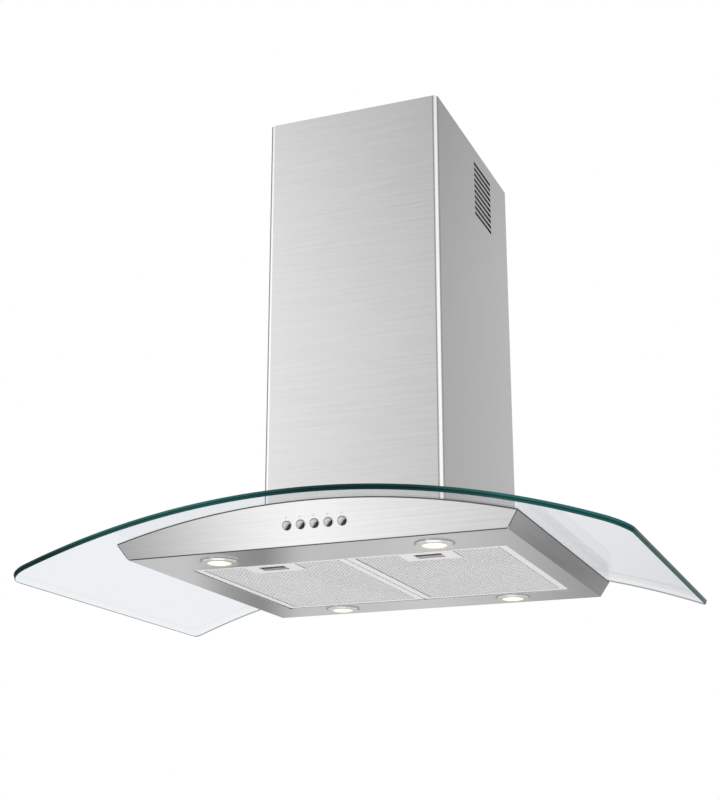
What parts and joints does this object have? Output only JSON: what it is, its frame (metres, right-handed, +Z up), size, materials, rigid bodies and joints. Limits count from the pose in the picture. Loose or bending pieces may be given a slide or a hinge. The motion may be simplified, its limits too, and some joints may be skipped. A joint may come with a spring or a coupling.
{
  "type": "wall-mounted range hood",
  "caption": "Wall-mounted kitchen hood: arched glass canopy on a tapered steel body with push buttons, lamps, hinged grease filters, blower and a telescopic slotted chimney.",
  "frame": {"origin": "centre of the back panel's wall face, 28 mm above the canopy's underside", "axes": "+X along the hood's width to its right as seen from the front, +Y into the wall, +Z up"},
  "size_m": [0.9, 0.588, 0.7631],
  "materials": {
    "tinted_glass": "clear, polished, dark teal at its ground edges",
    "gasket_rubber": "matt",
    "panel_steel": "fine brushed stainless",
    "chimney_steel": "brushed stainless",
    "galvanised_sheet": "zinc coated sheet",
    "bright_steel": "bright zinc",
    "button_chrome": "polished",
    "lamp_ring_steel": "satin",
    "lamp_glass": "frosted",
    "filter_aluminium": "satin",
    "filter_mesh_aluminium": "expanded sheet",
    "latch_steel": "satin",
    "black_plastic": "moulded",
    "grey_plastic": "moulded",
    "white_plastic": "moulded",
    "motor_paint": "black enamel"
  },
  "bodies": {
    "hood": {"canopy_glass": "tinted_glass", "glass_gasket": "gasket_rubber", "glass_bolts": "bright_steel", "glass_grommets": "gasket_rubber", "front_panel": "panel_steel", "bottom_pan": "panel_steel", "side_panel_left": "panel_steel", "side_panel_right": "panel_steel", "back_panel": "galvanised_sheet", "top_plate": "galvanised_sheet", "switch_housing": "black_plastic", "button_bezels": "black_plastic", "lamp_bulbs": "lamp_glass", "chimney_cover": "chimney_steel", "cover_bracket": "galvanised_sheet", "cover_screws": "bright_steel", "blower_box": "galvanised_sheet", "hanging_plate": "galvanised_sheet", "volute": "grey_plastic", "motor": "motor_paint", "motor_bracket": "galvanised_sheet", "outlet_collar": "grey_plastic", "collar_screws": "bright_steel", "damper_pin": "bright_steel", "terminal_box": "black_plastic", "cable_gland": "black_plastic", "capacitor": "white_plastic", "lamp_transformer": "black_plastic", "lamp_ring_front_left": "lamp_ring_steel", "lamp_lens_front_left": "lamp_glass", "lamp_cup_front_left": "galvanised_sheet", "lamp_ring_front_right": "lamp_ring_steel", "lamp_lens_front_right": "lamp_glass", "lamp_cup_front_right": "galvanised_sheet", "lamp_ring_rear_left": "lamp_ring_steel", "lamp_lens_rear_left": "lamp_glass", "lamp_cup_rear_left": "galvanised_sheet", "lamp_ring_rear_right": "lamp_ring_steel", "lamp_lens_rear_right": "lamp_glass", "lamp_cup_rear_right": "galvanised_sheet"},
    "button_1": {"button_1": "button_chrome"},
    "button_2": {"button_2": "button_chrome"},
    "button_3": {"button_3": "button_chrome"},
    "button_4": {"button_4": "button_chrome"},
    "button_5": {"button_5": "button_chrome"},
    "filter_left": {"filter_frame_left": "filter_aluminium", "filter_mesh_left": "filter_mesh_aluminium", "latch_plate_left": "latch_steel"},
    "latch_left": {"filter_latch_left": "latch_steel"},
    "filter_right": {"filter_frame_right": "filter_aluminium", "filter_mesh_right": "filter_mesh_aluminium", "latch_plate_right": "latch_steel"},
    "latch_right": {"filter_latch_right": "latch_steel"},
    "impeller": {"impeller": "galvanised_sheet", "motor_shaft": "bright_steel"},
    "damper_front": {"damper_flap_front": "grey_plastic"},
    "damper_rear": {"damper_flap_rear": "grey_plastic"},
    "inner_cover": {"inner_cover": "chimney_steel", "ceiling_bracket": "galvanised_sheet", "bracket_screws": "bright_steel"}
  },
  "joints": [
    {"name": "button_1_press", "type": "slide", "parent": "hood", "child": "button_1", "axis": [0, 0.9613, 0.2756], "range_m": [0, 0.003], "stiffness_N_per_m": 400, "springref_m": -0.002},
    {"name": "button_2_press", "type": "slide", "parent": "hood", "child": "button_2", "axis": [0, 0.9613, 0.2756], "range_m": [0, 0.003], "stiffness_N_per_m": 400, "springref_m": -0.002},
    {"name": "button_3_press", "type": "slide", "parent": "hood", "child": "button_3", "axis": [0, 0.9613, 0.2756], "range_m": [0, 0.003], "stiffness_N_per_m": 400, "springref_m": -0.002},
    {"name": "button_4_press", "type": "slide", "parent": "hood", "child": "button_4", "axis": [0, 0.9613, 0.2756], "range_m": [0, 0.003], "stiffness_N_per_m": 400, "springref_m": -0.002},
    {"name": "button_5_press", "type": "slide", "parent": "hood", "child": "button_5", "axis": [0, 0.9613, 0.2756], "range_m": [0, 0.003], "stiffness_N_per_m": 400, "springref_m": -0.002},
    {"name": "filter_left_swing", "type": "hinge", "parent": "hood", "child": "filter_left", "pos_m": [-0.11075, -0.079, -0.0267], "axis": [1, 0, 0], "range_deg": [0, 75]},
    {"name": "latch_left_slide", "type": "slide", "parent": "filter_left", "child": "latch_left", "axis": [0, 1, 0], "range_m": [0, 0.005], "stiffness_N_per_m": 300, "springref_m": -0.002},
    {"name": "filter_right_swing", "type": "hinge", "parent": "hood", "child": "filter_right", "pos_m": [0.12875, -0.079, -0.0267], "axis": [1, 0, 0], "range_deg": [0, 75]},
    {"name": "latch_right_slide", "type": "slide", "parent": "filter_right", "child": "latch_right", "axis": [0, 1, 0], "range_m": [0, 0.005], "stiffness_N_per_m": 300, "springref_m": -0.002},
    {"name": "impeller_spin", "type": "hinge", "parent": "hood", "child": "impeller", "pos_m": [0, -0.14, 0.137], "axis": [1, 0, 0], "continuous": true},
    {"name": "damper_front_swing", "type": "hinge", "parent": "hood", "child": "damper_front", "pos_m": [0, -0.195, 0.277], "axis": [-1, 0, 0], "range_deg": [0, 80]},
    {"name": "damper_rear_swing", "type": "hinge", "parent": "hood", "child": "damper_rear", "pos_m": [0, -0.195, 0.277], "axis": [1, 0, 0], "range_deg": [0, 80]},
    {"name": "inner_cover_rise", "type": "slide", "parent": "hood", "child": "inner_cover", "axis": [0, 0, 1], "range_m": [0, 0.3]}
  ]
}
